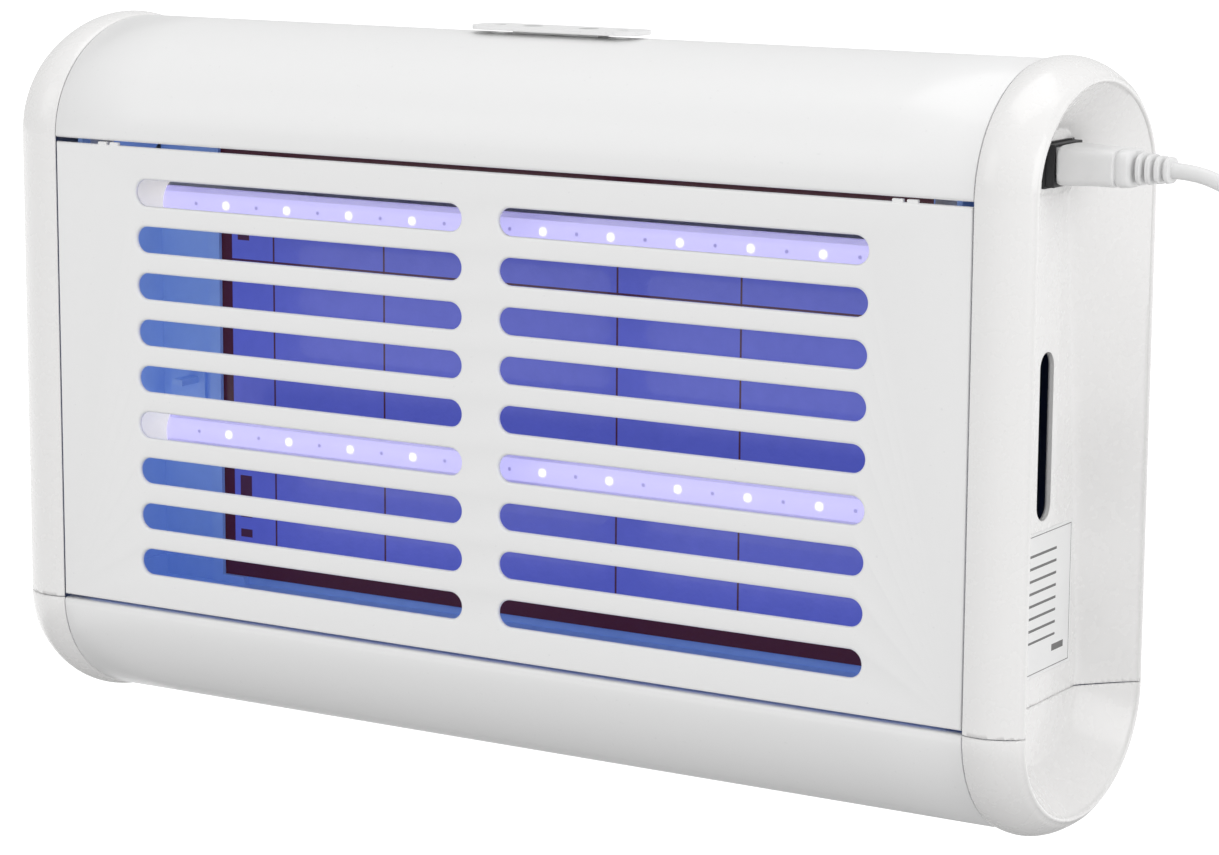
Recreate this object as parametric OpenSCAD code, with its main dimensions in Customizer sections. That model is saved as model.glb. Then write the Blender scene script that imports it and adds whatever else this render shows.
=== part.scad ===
// Double-sided hanging light trap: four LED tubes draw insects through the
// front and rear grilles onto the two glue boards in the middle.
// +X is to the right, +Y to the rear, +Z up. The origin is the middle of the
// hanger plate's top face, and heights inside the housing are measured from
// mid_z, the middle of the grilles.

/* [Housing] */
// Length of the covers, between the seams of the end caps
body_w = 488; // [480:1:520]
// How far each end cap reaches past its seam
cap_w = 26; // [24:1:30]
// Depth from grille to grille
body_d = 136; // [132:1:160]
// Height of the rounded top and of the rounded bottom
dome_h = 55; // [50:1:62]
// Thickness of the moulded covers and caps
wall = 2.5; // [2:0.1:3]
// Gap between a grille and the cover above it
top_gap = 2; // [1.5:0.1:3]
// Gap between a grille and the cover below it
bottom_gap = 1.6; // [1.2:0.1:3]

/* [Grilles] */
// Height of a grille
grille_h = 222.4; // [215:0.1:240]
// Thickness of a grille
grille_t = 3; // [2.5:0.1:3.5]
// Slots above each other
slot_rows = 9; // [5:1:9]
// Height of a slot
slot_h = 12.5; // [8:0.5:14]
// Height from one slot to the next
slot_pitch = 22.3; // [20:0.1:23]
// Where the slots start, from the middle of the grille
slot_start = 10; // [8:1:30]
// Where the slots end, from the middle of the grille
slot_end = 195.5; // [150:0.5:205]

/* [Lamp tubes] */
// Length of a tube without its pins
tube_len = 437.4; // [430:0.1:438]
// Radius of a tube's end cap
tube_r = 13.3; // [12.5:0.1:13.5]
// Distance of a tube's axis from the middle of the housing
tube_y = 40; // [38:1:42]
// Height of the upper tubes above the middle
upper_tube = 83; // [78:1:84]
// Height of the lower tubes above the middle
lower_tube = -27.5; // [-40:0.5:-20]
// Distance between two light-emitting diodes
led_pitch = 35.75; // [30:0.05:40]

/* [Glue boards] */
// Width of a glue board
board_w = 394; // [380:1:396]
// Height of a glue board
board_h = 214; // [200:1:214]
// Thickness of a glue board
board_t = 1; // [0.6:0.1:1.2]

/* [Hanger] */
// Length of the hanger plate
hanger_w = 90; // [80:1:120]
// Width of the hanger plate
hanger_d = 24; // [20:1:30]
// Distance between the two hanging holes
hook_pitch = 66; // [56:1:70]
// Diameter of a hanging hole
hook_d = 5.5; // [4.5:0.1:6.5]

/* [Mains lead] */
// Outer diameter of the cord
cord_d = 7; // [6:0.1:8]
// Height of the mains inlet above the middle
inlet_up = 124; // [120:0.5:125]

/* [Hidden] */
// Housing
half_w = body_w / 2;
half_d = body_d / 2;
hanger_stand = 3.5;
half_grille = grille_h / 2;
edge_up = half_grille + top_gap;
edge_down = half_grille + bottom_gap;
mid_z = -(hanger_stand + edge_up + dome_h);
cap_seam = -edge_down + 0.5;
seam_gap = 0.3;
arc_steps = 28;
// The cap's side swells by crown at crown_x, then curves in to the rim
crown = 1.7;
crown_x = 8;
crown_r = 20;
rim_inset = 9;
recess_floor = 4;
floor_top_r = 14;
floor_low_r = 38;
floor_top = 123;
floor_low = -101;
boss_spots = [[12, 96], [-12, 96], [28, -88], [-28, -88]];
// Grille hinge: a bead along the lower edge turns on a pin at each end
bead_r = 2.5;
pin_r = 1.25;
hinge_y = half_d - bead_r;
hinge_z = -half_grille + bead_r;
// Inner frame
frame_x = 233;
frame_t = 2.5;
frame_y = 61;
frame_top = 116;
deck_z = 118;
deck_t = 2;
tray_top = -111;
rail_lip = 194.5;
rail_x = 201;
rail_y = 5;
// Lamp tubes and G13 lampholders
cap_len = 28;
shell_r = 12.8;
shell_t = 1.2;
lens_angle = 43;
contact_pitch = 12.7;
contact_r = 1.175;
contact_len = 7.1;
led_plane = 2.5;
led_count = 10;
led_first = -160.9;
holder_x = tube_len / 2 + 0.4;
holder_r = 12.5;
groove_in = 4.7;
groove_out = 8.1;
// Mains inlet and connector
inlet_z = mid_z + inlet_up;
face_x = half_w + 7;
socket_w = 24.6;
socket_h = 16.8;
socket_deep = 16;
blade_gap = 7;
// Mains lead. It leaves the connector, bends down and hangs in a tied coil
lead_x = 302;
collar = 4;
drop_x = 362;
coil_z = -185;
coil_in = 35;
coil_out = 42;
coil_layers = 3;
lead_route = [[302, 0, -47.7], [308, 0, -48], [315, 0, -49], [322, 0, -51], [330, 0, -54.5],
    [338, 0, -59.5], [345, 0, -66], [351, 0, -74], [356, 0, -83], [360, 0, -93], [362, 1, -103], [362, 4, -113],
    [362, 9, -122], [362, 15, -131], [361, 21, -140], [358, 27, -149], [355, 32, -158]];
tail_route = [[355, 35, -187], [351, 35.5, -195], [348, 36, -204], [347, 35, -213], [348, 32, -222],
    [350, 28, -231], [354, 22, -240], [358, 15, -249], [359, 9, -256], [361, 4, -264], [362, 1, -271],
    [362, 0, -278]];
cord_sides = 10;
plug_y = 0;
plug_z = -276;

// Each tube: its name, which face it is behind, and its height
TUBES = [["front_upper_tube", -1, upper_tube], ["front_lower_tube", -1, lower_tube],
    ["rear_upper_tube", 1, upper_tube], ["rear_lower_tube", 1, lower_tube]];
TUBE_PARTS = ["heatsink", "lens", "leds", "ends"];
SIDES = [["left", -1], ["right", 1]];

// ---------- helpers ----------

// The housing's section, d inside its surface: straight sides with a
// half ellipse at the top and at the bottom
function outline(d) = concat(
    [for (i = [0:arc_steps]) let (t = 180 * i / arc_steps)
        [(half_d - d) * cos(t), edge_up + (dome_h - d) * sin(t)]],
    [for (i = [0:arc_steps]) let (t = 180 + 180 * i / arc_steps)
        [(half_d - d) * cos(t), -edge_down + (dome_h - d) * sin(t)]]);

// The rounded top alone, as a closed shape d inside the surface
function dome(d) = [for (i = [0:arc_steps]) let (t = 180 * i / arc_steps)
    [(half_d - d) * cos(t), (dome_h - d) * sin(t)]];

// How far the cap's side lies inside the housing's section, x past the seam
function cap_inset(x) = pow(x - crown_x, 2) / (2 * crown_r) - crown;

// Stands a drawing of (Y, Z) up and makes it reach from x0 to x1
module along_x(x0, x1) {
    translate([x0, 0, mid_z]) rotate([90, 0, 90]) linear_extrude(x1 - x0) children();
}

// A round bar along X
module bar_x(x0, x1, y, z, r, fn = 48) {
    translate([x0, y, z]) rotate([0, 90, 0]) cylinder(h = x1 - x0, r = r, $fn = fn);
}

// A box given by its lowest and its highest corner
module block(a, b) {
    translate(a) cube(b - a);
}

// A box with round edges along X
module round_bar_x(x0, x1, w, h, r) {
    translate([x0, 0, 0]) rotate([90, 0, 90]) linear_extrude(x1 - x0)
        offset(r, $fn = 24) square([w - 2 * r, h - 2 * r], center = true);
}

// Mirrors children to the left when side is -1
module sided(side) {
    if (side > 0) children();
    else mirror([1, 0, 0]) children();
}

// Mirrors children to the front when face is -1
module faced(face) {
    if (face > 0) children();
    else mirror([0, 1, 0]) children();
}

// ---------- covers ----------

module dome_shell() {
    difference() {
        polygon(dome(0));
        translate([0, -0.01]) polygon(dome(wall));
    }
    for (s = [-1, 1]) translate([s * (half_d - wall / 2 - 2), 1]) square([wall + 4, 2], center = true);
}

module top_cover() {
    color("white") difference() {
        union() {
            translate([0, 0, edge_up]) along_x(-half_w + 0.1, half_w - 0.1) dome_shell();
            for (x = [-190, 190]) translate([x, 0, mid_z + deck_z + deck_t])
                cylinder(h = edge_up + dome_h - deck_z - deck_t - 1, r = 5, $fn = 40);
        }
        for (x = [-190, 190]) translate([x, 0, mid_z + deck_z]) cylinder(h = 22, r = 1.45, $fn = 32);
        for (x = [-15, 15]) translate([x, 0, mid_z + edge_up + 30]) cylinder(h = 40, r = 2.6, $fn = 32);
    }
}

module bottom_cover() {
    color("white") difference() {
        union() {
            translate([0, 0, 2 * mid_z - edge_down]) mirror([0, 0, 1])
                along_x(-half_w + 0.1, half_w - 0.1) dome_shell();
            for (x = [-190, 190], y = [-30, 30]) translate([x, y, mid_z - edge_down - dome_h + 8])
                cylinder(h = dome_h - 8, r = 5, $fn = 40);
        }
        for (x = [-190, 190], y = [-30, 30]) translate([x, y, mid_z - edge_down - dome_h]) {
            cylinder(h = dome_h + 1, r = 1.6, $fn = 32);
            cylinder(h = 12, r = 3.6, $fn = 32);
        }
    }
}

// The cap's outer form, in inset inside its surface, filled solid
module cap_form(inset) {
    hull() for (x = [0, 4, 8, 12, 16, 20, 23, 26])
        along_x(half_w + x * (cap_w - inset) / 26, half_w + x * (cap_w - inset) / 26 + 0.01)
            polygon(outline(cap_inset(x * cap_w / 26) + inset));
}

// The scoop in the cap's side, grown by extra. Its floor narrows upwards
module cap_scoop(extra) {
    hull() {
        along_x(half_w + cap_w, half_w + cap_w + 3) polygon(outline(rim_inset - extra));
        along_x(half_w + recess_floor - extra, half_w + recess_floor - extra + 0.01) hull() {
            translate([0, floor_top]) circle(floor_top_r + extra, $fn = 32);
            translate([0, floor_low]) circle(floor_low_r + extra, $fn = 32);
        }
    }
}

module cap_shell() {
    difference() {
        cap_form(0);
        difference() {
            cap_form(wall);
            cap_scoop(wall);
        }
        cap_scoop(0);
    }
}

// The upper end cap, drawn for the right side
module end_cap() {
    difference() {
        union() {
            cap_shell();
            for (p = boss_spots) intersection() {
                bar_x(frame_x + frame_t + 0.1, half_w + 14, p[0], mid_z + p[1], 4, 32);
                block([frame_x, -half_d, mid_z - 100], [half_w + 12, half_d, mid_z + 100]);
            }
            for (s = [-1, 1]) block([half_w + 0.2, min(s * (half_d - 1), s * (half_d - 9)), mid_z + cap_seam],
                [half_w + 10, max(s * (half_d - 1), s * (half_d - 9)), mid_z - half_grille + 8]);
        }
        cap_scoop(0);
        translate([half_w - 20, -100, mid_z - 300]) cube([80, 200, 300 + cap_seam]);
        for (p = boss_spots) bar_x(frame_x, half_w + 1.2, p[0], mid_z + p[1], 1.45, 24);
        for (s = [-1, 1]) bar_x(half_w - 1, half_w + 9, s * hinge_y, mid_z + hinge_z, pin_r, 32);
        along_x(half_w - 4, half_w + 12) {
            translate([0, -1.5]) for (z = [-30, 30]) translate([0, z + 7]) circle(7, $fn = 40);
            translate([0, 5.5]) square([14, 60], center = true);
        }
    }
}

module left_end_cap() {
    color("whitesmoke") sided(-1) end_cap();
}

module right_end_cap() {
    color("whitesmoke") difference() {
        union() {
            end_cap();
            block([half_w + 1, -17, inlet_z - 12], [face_x - 1.4, 17, inlet_z + 12.5]);
        }
        block([half_w - 5, -14.2, inlet_z - 9.3], [half_w + 12, 14.2, inlet_z + 9.3]);
        block([face_x - 1.4, -14.9, inlet_z - 10], [face_x + 6, 14.9, inlet_z + 10]);
    }
}

module lower_cap() {
    difference() {
        cap_shell();
        translate([half_w - 20, -100, mid_z + cap_seam - seam_gap]) cube([80, 200, 500]);
    }
}

module left_lower_cap() {
    color("whitesmoke") sided(-1) lower_cap();
}

module right_lower_cap() {
    color("whitesmoke") lower_cap();
}

// ---------- grilles ----------

module slot_shape(w, h) {
    square([w - h, h], center = true);
    for (s = [-1, 1]) translate([s * (w - h) / 2, 0]) circle(h / 2, $fn = 48);
}

module grille_shape() {
    top_row = (slot_rows - 1) / 2 * slot_pitch;
    difference() {
        translate([-half_w + 0.3, hinge_z]) square([body_w - 0.6, half_grille - hinge_z]);
        for (row = [0:slot_rows - 1], s = [-1, 1])
            translate([s * (slot_start + slot_end) / 2, top_row - row * slot_pitch + 0.4])
                slot_shape(slot_end - slot_start, slot_h);
    }
    for (s = [-1, 1], x = [206, 213]) translate([s * (x + 2.5) - 2.5, half_grille - 1]) square([5, 2.4]);
}

module grille() {
    difference() {
        union() {
            translate([0, half_d, mid_z]) rotate([90, 0, 0]) linear_extrude(grille_t) grille_shape();
            bar_x(-half_w + 0.3, half_w - 0.3, hinge_y, mid_z + hinge_z, bead_r);
            block([-225, half_d - grille_t - 5.5, mid_z - 82], [225, half_d - grille_t + 0.5, mid_z - 74.5]);
            block([-225, half_d - grille_t - 2.5, mid_z + 104], [225, half_d - grille_t + 0.5, mid_z + 106]);
        }
        for (s = [-1, 1]) bar_x(s * (half_w - 6) - 7, s * (half_w - 6) + 7, hinge_y, mid_z + hinge_z, pin_r + 0.05, 32);
    }
}

module front_grille() {
    color("white") faced(-1) grille();
}

module rear_grille() {
    color("white") grille();
}

module hinge_pins() {
    color("silver") for (s = [-1, 1], f = [-1, 1])
        bar_x(s * (half_w - 2) - 10, s * (half_w - 2) + 10, f * hinge_y, mid_z + hinge_z, pin_r, 32);
}

// Spring clips on the side frames, which hold the grille's upper edge
module catches() {
    for (s = [-1, 1]) sided(s) {
        block([220, frame_y - 8, mid_z + 107.5], [frame_x - 0.2, frame_y - 6, mid_z + frame_top]);
        block([220, frame_y - 6.1, mid_z + 107.5], [228, frame_y + 2.6, mid_z + 109]);
    }
}

module front_catches() {
    color("lightgray") faced(-1) catches();
}

module rear_catches() {
    color("lightgray") catches();
}

// ---------- inner frame ----------

module side_frame() {
    difference() {
        union() {
            block([frame_x, -frame_y, mid_z + tray_top], [frame_x + frame_t, frame_y, mid_z + frame_top]);
            for (s = [-1, 1]) translate([0, s * (frame_y - 1.25), 0])
                block([frame_x + 1, -1.25, mid_z - 100], [half_w - 0.8, 1.25, mid_z + 108]);
            for (s = [-1, 1]) block([frame_x - 13, min(s * 20, s * 52), mid_z + frame_top],
                [frame_x + frame_t, max(s * 20, s * 52), mid_z + deck_z]);
        }
        block([frame_x - 1, -14.5, mid_z + inlet_up - 11], [frame_x + 5, 14.5, mid_z + frame_top + 10]);
        for (t = TUBES) bar_x(frame_x - 1, frame_x + 4, t[1] * tube_y, mid_z + t[2], 4, 32);
        for (p = boss_spots) bar_x(frame_x - 1, frame_x + 4, p[0], mid_z + p[1], 1.6, 24);
        bar_x(frame_x - 1, frame_x + 4, 0, mid_z + 100, 6, 32);
    }
}

module left_side_frame() {
    color("lightsteelblue") sided(-1) side_frame();
}

module right_side_frame() {
    color("lightsteelblue") side_frame();
}

module centre_frame() {
    color("lightsteelblue") {
        block([-frame_x + 0.1, -1, mid_z + tray_top + 0.1], [frame_x - 0.1, 1, mid_z + 110]);
        for (s = [-1, 1], f = [-1, 1]) sided(s) faced(f) {
            block([206, 0.9, mid_z - 20], [227, 3, mid_z - 4]);
            block([210, 2.9, mid_z - 12], [216, 16, mid_z - 9]);
        }
    }
}

module top_deck() {
    color("silver") difference() {
        block([-frame_x, -50, mid_z + deck_z], [frame_x, 50, mid_z + deck_z + deck_t]);
        block([frame_x - 20, -16, mid_z + deck_z - 1], [frame_x + 1, 16, mid_z + deck_z + 5]);
        for (x = [-190, 190]) translate([x, 0, mid_z + deck_z - 1]) cylinder(h = 5, r = 1.6, $fn = 32);
        for (x = [-15, 15]) translate([x, 0, mid_z + deck_z - 1]) cylinder(h = 5, r = 2.6, $fn = 32);
        for (x = [-150, -110, 110, 150]) translate([x, 25, mid_z + deck_z - 1]) cylinder(h = 5, r = 6, $fn = 32);
    }
}

module catch_tray() {
    rim = mid_z - 101;
    color("lightsteelblue") difference() {
        union() {
            block([-frame_x + 0.2, -frame_y, mid_z - edge_down + 0.1], [frame_x - 0.2, frame_y, mid_z + tray_top]);
            for (s = [-1, 1]) sided(s) {
                for (f = [-1, 1]) faced(f) {
                    block([frame_x - 2.2, 1.2, mid_z + tray_top - 1], [frame_x - 0.2, frame_y - 6, rim]);
                    block([rail_x + 0.5, 1.2, mid_z + tray_top - 1], [frame_x - 1, 3.2, rim]);
                }
            }
        }
        for (x = [-190, 190], y = [-30, 30]) translate([x, y, mid_z - edge_down - 1]) cylinder(h = 6, r = 1.45, $fn = 32);
    }
}

// Channels that hold a glue board's sides, with a stop under each corner
module board_rails() {
    for (s = [-1, 1]) sided(s) {
        difference() {
            block([rail_lip, 1.05, mid_z + tray_top + 0.1], [rail_x, rail_y, mid_z + 109]);
            block([rail_lip - 1, 1, mid_z - board_h / 2], [board_w / 2 + 0.4, 1.4 + board_t + 0.4, mid_z + 115]);
        }
        block([rail_lip - 13, 1.05, mid_z + tray_top + 0.1], [rail_lip + 0.1, rail_y, mid_z - board_h / 2]);
    }
}

module front_board_rails() {
    color("lavender") faced(-1) board_rails();
}

module rear_board_rails() {
    color("lavender") board_rails();
}

module glue_board() {
    block([-board_w / 2, 1.4, mid_z - board_h / 2 + 0.05], [board_w / 2, 1.4 + board_t, mid_z + board_h / 2]);
}

module front_glue_board() {
    color("slateblue") faced(-1) glue_board();
}

module rear_glue_board() {
    color("slateblue") glue_board();
}

// ---------- lamp tubes and lampholders ----------

// A wedge that reaches angle to each side of the light's direction
module wedge(angle) {
    polygon([[0, 0], [40 * cos(angle), -40 * sin(angle)], [40 * cos(angle), 40 * sin(angle)]]);
}

module tube_ring(r, t) {
    difference() {
        circle(r, $fn = 72);
        circle(r - t, $fn = 72);
    }
}

// One part of a tube, drawn with its axis at y = 0, z = mid_z and its light to +Y
module tube_part(part) {
    end = tube_len / 2;
    inner = end - 2.1;
    seat = shell_r - shell_t + 0.3;
    if (part == "heatsink") color("silver") along_x(-inner, inner) {
        difference() {
            tube_ring(shell_r, shell_t);
            wedge(lens_angle + 1);
        }
        intersection() {
            circle(seat, $fn = 72);
            translate([led_plane - 1.5, 0]) square([1.5, 40], center = true);
        }
    }
    if (part == "lens") color("lavender") along_x(-inner, inner) intersection() {
        tube_ring(shell_r, shell_t);
        wedge(lens_angle);
    }
    if (part == "leds") color("white") {
        block([-inner, led_plane - 0.7, mid_z - 5], [inner, led_plane + 0.3, mid_z + 5]);
        for (i = [0:led_count - 1]) translate([led_first + i * led_pitch, led_plane + 0.6, mid_z])
            cube([3, 0.8, 3], center = true);
    }
    if (part == "ends") color("white") for (s = [-1, 1]) sided(s) {
        difference() {
            bar_x(end - cap_len, end, 0, mid_z, tube_r, 72);
            bar_x(end - cap_len - 1, end - 2, 0, mid_z, shell_r + 0.05, 72);
        }
        for (z = [-1, 1]) bar_x(end - 1, end + contact_len, 0, mid_z + z * contact_pitch / 2, contact_r, 24);
    }
}

module placed_tube_part(t, part) {
    translate([0, t[1] * tube_y, t[2]]) faced(t[1]) tube_part(part);
}

// A lampholder for the right end, open to +Y for the pins to come in
module lampholder() {
    end = frame_x - 0.1;
    difference() {
        union() {
            bar_x(holder_x, end, 0, mid_z, holder_r, 64);
            block([holder_x, -22, mid_z - 11], [end, 0, mid_z + 11]);
            block([end - 4, -30, mid_z - 8], [end, -20, mid_z + 8]);
        }
        difference() {
            bar_x(holder_x - 1, holder_x + 9, 0, mid_z, groove_out, 64);
            bar_x(holder_x - 2, holder_x + 10, 0, mid_z, groove_in, 64);
        }
        block([holder_x - 1, groove_in - 0.5, mid_z - 1.6], [holder_x + 9, 20, mid_z + 1.6]);
    }
}

module placed_holder(t, side) {
    color("white") translate([0, t[1] * tube_y, t[2]]) faced(t[1]) sided(side) lampholder();
}

// ---------- wiring ----------

module terminal_block() {
    z = mid_z + deck_z + deck_t;
    color("ivory") difference() {
        block([140, -28, z], [180, -10, z + 14]);
        for (x = [147, 160, 173]) translate([x, -19, z + 4]) cylinder(h = 20, r = 3, $fn = 24);
        for (x = [147, 160, 173]) translate([x, 0, z + 5]) rotate([90, 0, 0]) cylinder(h = 40, r = 1.6, $fn = 24);
    }
}

// The feed from the inlet, and a pair of wires down each side to its lampholders
module wiring() {
    z = mid_z + deck_z + deck_t + 3;
    color("gray") {
        cord([[222, -5, inlet_z], [214, -8, inlet_z], [205, -16, z + 2], [188, -32, z + 2],
            [172, -37, z + 2], [163, -36, z + 2], [160, -32, z + 2], [160, -25, z + 2]], [0, 0, 1], 2.8, 6);
        for (s = [-1, 1], f = [-1, 1])
            cord([[s > 0 ? 173 : 147, -13, z + 2], [s > 0 ? 173 : 147, 0, z + 2],
                [s > 0 ? 180 : 140, 4 * f + 13, z + 2], [s * 188, 4 * f + 13, z + 2], [s * 199, 4 * f + 13, z + 9],
                [s * 213, 22 * f, z + 9], [s * 227, 24 * f, z + 6], [s * 238, 24 * f, z + 1],
                [s * 240, f * 30, mid_z + 112],
                [s * 240, f * tube_y, mid_z + 100], [s * 240, f * tube_y, mid_z + upper_tube],
                [s * 240, f * tube_y, mid_z + 20], [s * 240, f * tube_y, mid_z + lower_tube]],
                [0.6, 0.35, -0.7], 2.4, 6);
    }
}

// ---------- mains inlet, plate and hanger ----------

// The section of a C14 socket: a rectangle with two corners cut off
module socket_shape(w, h, cut) {
    polygon([[-w / 2, h / 2], [w / 2, h / 2], [w / 2, -h / 2 + cut], [w / 2 - cut, -h / 2],
        [-w / 2 + cut, -h / 2], [-w / 2, -h / 2 + cut]]);
}

module blade_spots() {
    for (s = [-1, 1]) translate([s * blade_gap, 2]) children();
    translate([0, -2]) children();
}

module mains_inlet() {
    color("black") translate([0, 0, inlet_up]) difference() {
        union() {
            along_x(face_x - 20, face_x - 1) square([28, 18.2], center = true);
            along_x(face_x - 1.35, face_x) square([29.4, 19.6], center = true);
            along_x(face_x - 0.1, face_x + collar) square([28, 18.2], center = true);
        }
        along_x(face_x - socket_deep, face_x + collar + 1) socket_shape(socket_w, socket_h, 5);
        along_x(face_x - 25, face_x) blade_spots() square([2.1, 4.1], center = true);
    }
}

module inlet_blades() {
    color("gold") translate([0, 0, inlet_up]) along_x(face_x - 26, face_x - 3) blade_spots()
        square([2, 4], center = true);
}

module rating_plate() {
    color("white") along_x(half_w + recess_floor, half_w + recess_floor + 0.3)
        translate([0, -67.5]) square([60, 64], center = true);
}

module hanger_plate() {
    corner = 9;
    color("white") difference() {
        union() {
            translate([0, 0, -2]) linear_extrude(2) {
                square([hanger_w - 2 * corner, hanger_d], center = true);
                square([hanger_w, hanger_d - 2 * corner], center = true);
                for (x = [-1, 1], y = [-1, 1])
                    translate([x * (hanger_w / 2 - corner), y * (hanger_d / 2 - corner)]) circle(corner, $fn = 48);
            }
            translate([0, 0, -hanger_stand + 0.02]) linear_extrude(hanger_stand - 1) square([46, 10], center = true);
        }
        for (x = [-1, 1]) translate([x * hook_pitch / 2, 0, -5]) cylinder(h = 10, r = hook_d / 2, $fn = 48);
        for (x = [-15, 15]) translate([x, 0, -5]) {
            cylinder(h = 10, r = 2.6, $fn = 32);
            translate([0, 0, 3.8]) cylinder(h = 5, r = 4.6, $fn = 32);
        }
    }
}

module hanger_bolts() {
    nut_z = mid_z + deck_z - 4;
    color("silver") for (x = [-15, 15]) translate([x, 0, 0]) {
        translate([0, 0, -1.2]) cylinder(h = 1.2, r = 4.5, $fn = 32);
        translate([0, 0, nut_z - 0.5]) cylinder(h = -nut_z, r = 2.5, $fn = 32);
        translate([0, 0, nut_z]) cylinder(h = 4, r = 4.6, $fn = 6);
    }
}

module cap_screws() {
    color("silver") for (s = [-1, 1]) sided(s) for (p = boss_spots) {
        bar_x(frame_x - 2, frame_x, p[0], mid_z + p[1], 3, 32);
        bar_x(frame_x - 0.5, half_w + 1, p[0], mid_z + p[1], 1.4, 24);
    }
}

module cover_screws() {
    low = mid_z - edge_down - dome_h + 12;
    color("silver") {
        for (x = [-190, 190], y = [-30, 30]) translate([x, y, 0]) {
            translate([0, 0, low - 2]) cylinder(h = 2, r = 3.2, $fn = 32);
            translate([0, 0, low - 1]) cylinder(h = mid_z + tray_top - low + 3, r = 1.4, $fn = 24);
        }
        for (x = [-190, 190]) translate([x, 0, mid_z + deck_z]) {
            translate([0, 0, -2]) cylinder(h = 2, r = 3.2, $fn = 32);
            translate([0, 0, -1]) cylinder(h = 20, r = 1.4, $fn = 24);
        }
    }
}

// ---------- mains lead ----------

module mains_connector() {
    grip_x = face_x + collar + 0.4;
    color("white") translate([0, 0, inlet_z]) difference() {
        union() {
            translate([0, 0, -mid_z]) along_x(face_x - socket_deep + 1, grip_x + 1) socket_shape(23.8, 16, 4.8);
            round_bar_x(grip_x, grip_x + 25.6, 27, 17.4, 4);
            round_bar_x(grip_x + 25.5, grip_x + 31.6, 23, 16, 5);
            bar_x(grip_x + 31.5, lead_x, 0, 0, 4.6);
            for (i = [0:3]) bar_x(grip_x + 31.5 + i * 4, grip_x + 34 + i * 4, 0, 0, 6.6 - 0.4 * i);
        }
        translate([0, 0, -mid_z]) along_x(face_x - socket_deep, face_x - 1) blade_spots()
            square([2.8, 4.8], center = true);
    }
}

function unit(v) = v / norm(v);
function tangent(p, i) = unit(p[min(i + 1, len(p) - 1)] - p[max(i - 1, 0)]);

// A round cord of diameter d along the points p, as one closed surface with
// flats sides. across is a direction that the route never runs along
module cord(p, across, d, flats) {
    rings = [for (i = [0:len(p) - 1]) let (t = tangent(p, i), u = unit(cross(across, t)), v = cross(t, u))
        for (k = [0:flats - 1]) let (a = 360 * k / flats) p[i] + d / 2 * (cos(a) * u + sin(a) * v)];
    last = (len(p) - 1) * flats;
    polyhedron(rings, concat(
        [[for (k = [0:flats - 1]) k]],
        [for (i = [0:len(p) - 2], k = [0:flats - 1]) let (a = i * flats, n = (k + 1) % flats)
            [a + k, a + flats + k, a + flats + n]],
        [for (i = [0:len(p) - 2], k = [0:flats - 1]) let (a = i * flats, n = (k + 1) % flats)
            [a + k, a + flats + n, a + n]],
        [[for (k = [flats - 1:-1:0]) last + k]]));
}

module cord_lead() {
    color("white") cord(lead_route, [-1, 3, 0], cord_d, cord_sides);
}

module cord_tail() {
    color("white") cord(tail_route, [1, 0, 0], cord_d, cord_sides);
}

module cord_coil() {
    color("white") translate([drop_x, 0, coil_z]) rotate([0, 90, 0]) rotate_extrude($fn = 64)
        translate([(coil_in + coil_out) / 2, 0])
            square([coil_out - coil_in + cord_d, coil_layers * cord_d], center = true);
}

module cord_tie() {
    wide = coil_out - coil_in + cord_d + 2;
    color("black") translate([drop_x, 0, coil_z - (coil_in + coil_out) / 2]) difference() {
        cube([coil_layers * cord_d + 3, 6, wide + 2], center = true);
        cube([coil_layers * cord_d + 0.2, 8, wide - 1], center = true);
    }
}

module mains_plug() {
    color("white") translate([drop_x, plug_y, plug_z]) difference() {
        union() {
            translate([0, 0, -18]) cylinder(h = 18, r = 5.2, $fn = 40);
            translate([0, 0, -32]) cylinder(h = 14.1, r = 12, $fn = 48);
            translate([0, 0, -50]) cylinder(h = 18.1, r = 18.5, $fn = 64);
        }
        for (s = [-1, 1]) translate([s * 18.5, 0, -44]) cube([5, 7, 13], center = true);
        for (s = [-1, 1]) translate([0, s * 9.5, -51]) cylinder(h = 6, r = 2.5, $fn = 32);
    }
}

module plug_pins() {
    color("silver") translate([drop_x, plug_y, plug_z - 50]) for (s = [-1, 1]) translate([0, s * 9.5, 0]) {
        translate([0, 0, -17]) cylinder(h = 22, r = 2.4, $fn = 32);
        translate([0, 0, -19]) cylinder(h = 2.1, r = 1.6, $fn = 32);
    }
}

// ---------- the nodes ----------

top_cover();
bottom_cover();
left_end_cap();
right_end_cap();
left_lower_cap();
right_lower_cap();
front_grille();
rear_grille();
hinge_pins();
front_catches();
rear_catches();
left_side_frame();
right_side_frame();
centre_frame();
top_deck();
catch_tray();
front_board_rails();
rear_board_rails();
front_glue_board();
rear_glue_board();
for (t = TUBES, p = TUBE_PARTS)
    placed_tube_part(t, p);
for (t = TUBES, s = SIDES)
    placed_holder(t, s[1]);
terminal_block();
wiring();
mains_inlet();
inlet_blades();
rating_plate();
hanger_plate();
hanger_bolts();
cap_screws();
cover_screws();
mains_connector();
cord_lead();
cord_coil();
cord_tail();
cord_tie();
mains_plug();
plug_pins();
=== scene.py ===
"""Looks for a double-sided hanging light trap for insects.

Metres, +X along the housing towards the mains lead, +Y to the rear, +Z up. The origin is the middle of the
hanger plate's top face. Shapes are written in millimetres and brought to metres by MM. Numbers inside
materials are metres.
"""

import math

import bmesh
import bpy
import numpy as np
from mathutils import Matrix, Vector


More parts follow.
